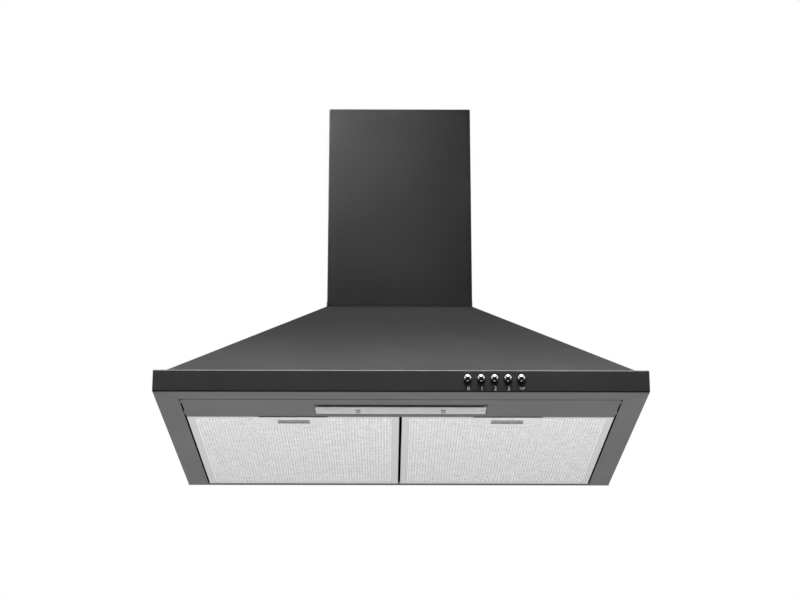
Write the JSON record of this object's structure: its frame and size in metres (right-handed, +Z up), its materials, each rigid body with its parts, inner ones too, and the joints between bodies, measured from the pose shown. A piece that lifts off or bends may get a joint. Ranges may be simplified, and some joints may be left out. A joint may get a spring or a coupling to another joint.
{
  "type": "chimney range hood",
  "caption": "Wall-mounted pyramid range hood with a telescopic chimney, tilting metal grease filters, a lamp strip, push buttons and a centrifugal fan.",
  "frame": {"origin": "on the wall face, midway between the two wall screws", "axes": "+X to the right seen from the front, +Y into the wall, +Z up"},
  "size_m": [0.6, 0.4855, 0.5064],
  "materials": {
    "painted_steel": "satin black fine-texture paint",
    "aluminium": "brushed",
    "aluminium_mesh": "expanded mesh",
    "zinc_steel": "galvanised",
    "spring_steel": "wire",
    "chrome": "polished",
    "black_plastic": "moulded",
    "grey_plastic": "moulded",
    "white_plastic": "moulded",
    "lamp_diffuser": "ribbed translucent",
    "bulb_glass": "frosted",
    "brass": "plain",
    "rubber": "moulded",
    "porcelain": "unglazed"
  },
  "bodies": {
    "hood": {"base_frame": "painted_steel", "canopy_shell": "painted_steel", "back_panel": "painted_steel", "light_panel": "painted_steel", "rear_rail": "painted_steel", "chimney_seat": "painted_steel", "chimney_lower_cover": "painted_steel", "cover_screws": "chrome", "lamp_tray": "zinc_steel", "lampholder_left": "porcelain", "lampholder_right": "porcelain", "lamp_cap_left": "brass", "lamp_cap_right": "brass", "lamp_bulb_left": "bulb_glass", "lamp_bulb_right": "bulb_glass", "button_bushes": "black_plastic", "switch_bank": "black_plastic", "fan_housing": "black_plastic", "inlet_guard": "zinc_steel", "motor_bracket": "zinc_steel", "motor_bushes": "rubber", "motor_casing": "zinc_steel", "outlet_collar": "black_plastic", "damper_pin": "zinc_steel", "capacitor": "white_plastic", "capacitor_clip": "zinc_steel", "terminal_box": "white_plastic", "terminal_lid": "white_plastic", "cable_gland": "black_plastic", "button_spring_0": "spring_steel", "button_spring_1": "spring_steel", "button_spring_2": "spring_steel", "button_spring_3": "spring_steel", "button_spring_4": "spring_steel"},
    "upper_cover": {"chimney_upper_cover": "painted_steel", "upper_cover_bracket": "zinc_steel", "bracket_screws": "chrome"},
    "filter_left": {"filter_frame_left": "aluminium", "filter_mesh_left": "aluminium_mesh", "filter_latch_plate_left": "aluminium", "filter_latch_spring_left": "spring_steel"},
    "filter_right": {"filter_frame_right": "aluminium", "filter_mesh_right": "aluminium_mesh", "filter_latch_plate_right": "aluminium", "filter_latch_spring_right": "spring_steel"},
    "latch_left": {"filter_latch_left": "grey_plastic"},
    "latch_right": {"filter_latch_right": "grey_plastic"},
    "lamp_door": {"lamp_cover": "lamp_diffuser"},
    "rotor": {"impeller": "black_plastic", "motor_shaft": "zinc_steel", "impeller_nut": "zinc_steel"},
    "flap_left": {"damper_flap_left": "grey_plastic"},
    "flap_right": {"damper_flap_right": "grey_plastic"},
    "button_0": {"push_button_0": "chrome"},
    "button_1": {"push_button_1": "chrome"},
    "button_2": {"push_button_2": "chrome"},
    "button_3": {"push_button_3": "chrome"},
    "button_4": {"push_button_4": "chrome"}
  },
  "joints": [
    {"name": "upper_cover_lift", "type": "slide", "parent": "hood", "child": "upper_cover", "axis": [0, 0, 1], "range_m": [0, 0.22]},
    {"name": "filter_left_tilt", "type": "hinge", "parent": "hood", "child": "filter_left", "pos_m": [0, -0.0107, -0.117], "axis": [1, 0, 0], "range_deg": [0, 75]},
    {"name": "filter_right_tilt", "type": "hinge", "parent": "hood", "child": "filter_right", "pos_m": [0, -0.0107, -0.117], "axis": [1, 0, 0], "range_deg": [0, 75]},
    {"name": "latch_left_slide", "type": "slide", "parent": "filter_left", "child": "latch_left", "axis": [0, 1, 0], "range_m": [0, 0.004], "stiffness_N_per_m": 250, "springref_m": -0.004, "deforming": ["filter_latch_spring_left"]},
    {"name": "latch_right_slide", "type": "slide", "parent": "filter_right", "child": "latch_right", "axis": [0, 1, 0], "range_m": [0, 0.004], "stiffness_N_per_m": 250, "springref_m": -0.004, "deforming": ["filter_latch_spring_right"]},
    {"name": "lamp_cover_swing", "type": "hinge", "parent": "hood", "child": "lamp_door", "pos_m": [0, -0.4095, -0.1172], "axis": [-1, 0, 0], "range_deg": [0, 80]},
    {"name": "fan_spin", "type": "hinge", "parent": "hood", "child": "rotor", "pos_m": [-0.0375, -0.09, -0.01], "axis": [0, 1, 0], "continuous": true},
    {"name": "flap_left_swing", "type": "hinge", "parent": "hood", "child": "flap_left", "pos_m": [0, -0.09, 0.108], "axis": [0, 1, 0], "range_deg": [0, 75]},
    {"name": "flap_right_swing", "type": "hinge", "parent": "hood", "child": "flap_right", "pos_m": [0, -0.09, 0.108], "axis": [0, -1, 0], "range_deg": [0, 75]},
    {"name": "button_0_press", "type": "slide", "parent": "hood", "child": "button_0", "axis": [0, 1, 0], "range_m": [0, 0.003], "stiffness_N_per_m": 400, "springref_m": -0.002, "deforming": ["button_spring_0"]},
    {"name": "button_1_press", "type": "slide", "parent": "hood", "child": "button_1", "axis": [0, 1, 0], "range_m": [0, 0.003], "stiffness_N_per_m": 400, "springref_m": -0.002, "deforming": ["button_spring_1"]},
    {"name": "button_2_press", "type": "slide", "parent": "hood", "child": "button_2", "axis": [0, 1, 0], "range_m": [0, 0.003], "stiffness_N_per_m": 400, "springref_m": -0.002, "deforming": ["button_spring_2"]},
    {"name": "button_3_press", "type": "slide", "parent": "hood", "child": "button_3", "axis": [0, 1, 0], "range_m": [0, 0.003], "stiffness_N_per_m": 400, "springref_m": -0.002, "deforming": ["button_spring_3"]},
    {"name": "button_4_press", "type": "slide", "parent": "hood", "child": "button_4", "axis": [0, 1, 0], "range_m": [0, 0.003], "stiffness_N_per_m": 400, "springref_m": -0.002, "deforming": ["button_spring_4"]}
  ]
}
